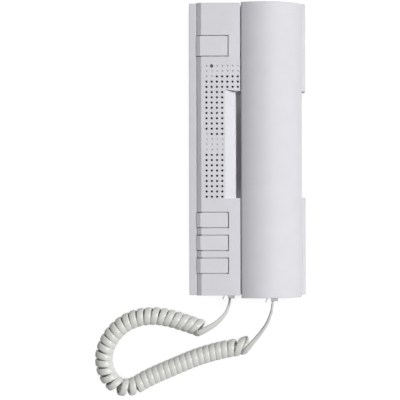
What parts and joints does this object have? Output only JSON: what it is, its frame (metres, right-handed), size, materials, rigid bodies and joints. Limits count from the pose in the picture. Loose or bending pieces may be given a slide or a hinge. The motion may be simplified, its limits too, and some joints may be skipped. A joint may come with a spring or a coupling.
{
  "type": "audio intercom handset",
  "caption": "Wall intercom station with a domed handset resting beside a perforated front panel, push buttons and a curly cord between two modular plugs.",
  "frame": {"origin": "middle of the wall base's back face, which lies on the surface", "axes": "+X to the right, +Y up the wall along the handset, +Z away from the wall"},
  "size_m": [0.1636, 0.3035, 0.058],
  "materials": {
    "base_plastic": "fine matte moulded plastic, light grey",
    "cover_plastic": "fine matte moulded plastic, light grey with a faint lilac cast",
    "button_plastic": "satin moulded plastic, light grey",
    "handset_plastic": "satin moulded plastic, light grey",
    "board": "green solder mask",
    "screw_steel": "zinc plated",
    "spring_steel": "drawn wire",
    "ballast_steel": "mill finish",
    "speaker_metal": "dark coated",
    "black_plastic": "smooth black plastic",
    "terminal_plastic": "smooth green plastic",
    "capacitor_sleeve": "shrink sleeve",
    "led_resin": "tinted resin",
    "lamp_lens": "smoked lens",
    "foam": "soft black seal",
    "plug_plastic": "translucent moulded plastic",
    "cord_jacket": "soft satin jacket, warm light grey"
  },
  "bodies": {
    "base": {"wall_base": "base_plastic", "front_cover": "cover_plastic", "main_board": "board", "board_screws": "screw_steel", "tact_switches": "black_plastic", "terminal_block": "terminal_plastic", "terminal_screws": "screw_steel", "board_capacitor": "capacitor_sleeve", "status_led": "led_resin", "light_pipe": "lamp_lens", "grille_cloth": "foam", "call_speaker": "speaker_metal", "speaker_gasket": "foam", "line_jack": "black_plastic", "cover_screws": "screw_steel", "hook_switch": "black_plastic", "hook_spring": "spring_steel", "base_plug": "plug_plastic", "cord_base_lead": "cord_jacket", "cord_coil": "cord_jacket"},
    "handset": {"handset_front": "handset_plastic", "handset_back": "handset_plastic", "receiver_capsule": "speaker_metal", "receiver_gasket": "foam", "microphone_capsule": "screw_steel", "microphone_boot": "foam", "ballast_weight": "ballast_steel", "handset_jack": "black_plastic", "handset_screws": "screw_steel", "handset_plug": "plug_plastic", "cord_handset_lead": "cord_jacket"},
    "hook": {"hook_plunger": "button_plastic"},
    "door_key": {"door_button": "button_plastic", "switch_stem_door": "black_plastic"},
    "aux_key_1": {"aux_button_1": "button_plastic", "switch_stem_1": "black_plastic"},
    "aux_key_2": {"aux_button_2": "button_plastic", "switch_stem_2": "black_plastic"},
    "aux_key_3": {"aux_button_3": "button_plastic", "switch_stem_3": "black_plastic"}
  },
  "joints": [
    {"name": "handset_lift", "type": "slide", "parent": "base", "child": "handset", "axis": [0, 0, 1], "range_m": [0, 0.05], "deforming": ["cord_coil"]},
    {"name": "hook_rise", "type": "slide", "parent": "base", "child": "hook", "axis": [0, 0, 1], "range_m": [0, 0.003], "deforming": ["hook_spring"]},
    {"name": "door_press", "type": "slide", "parent": "base", "child": "door_key", "axis": [0, 0, -1], "range_m": [0, 0.001], "stiffness_N_per_m": 600, "springref_m": -0.0015},
    {"name": "aux_press_1", "type": "slide", "parent": "base", "child": "aux_key_1", "axis": [0, 0, -1], "range_m": [0, 0.001], "stiffness_N_per_m": 600, "springref_m": -0.0015},
    {"name": "aux_press_2", "type": "slide", "parent": "base", "child": "aux_key_2", "axis": [0, 0, -1], "range_m": [0, 0.001], "stiffness_N_per_m": 600, "springref_m": -0.0015},
    {"name": "aux_press_3", "type": "slide", "parent": "base", "child": "aux_key_3", "axis": [0, 0, -1], "range_m": [0, 0.001], "stiffness_N_per_m": 600, "springref_m": -0.0015}
  ],
  "couplings": [
    {"joint": "hook_rise", "follows": "handset_lift", "ratio": 0.06}
  ]
}
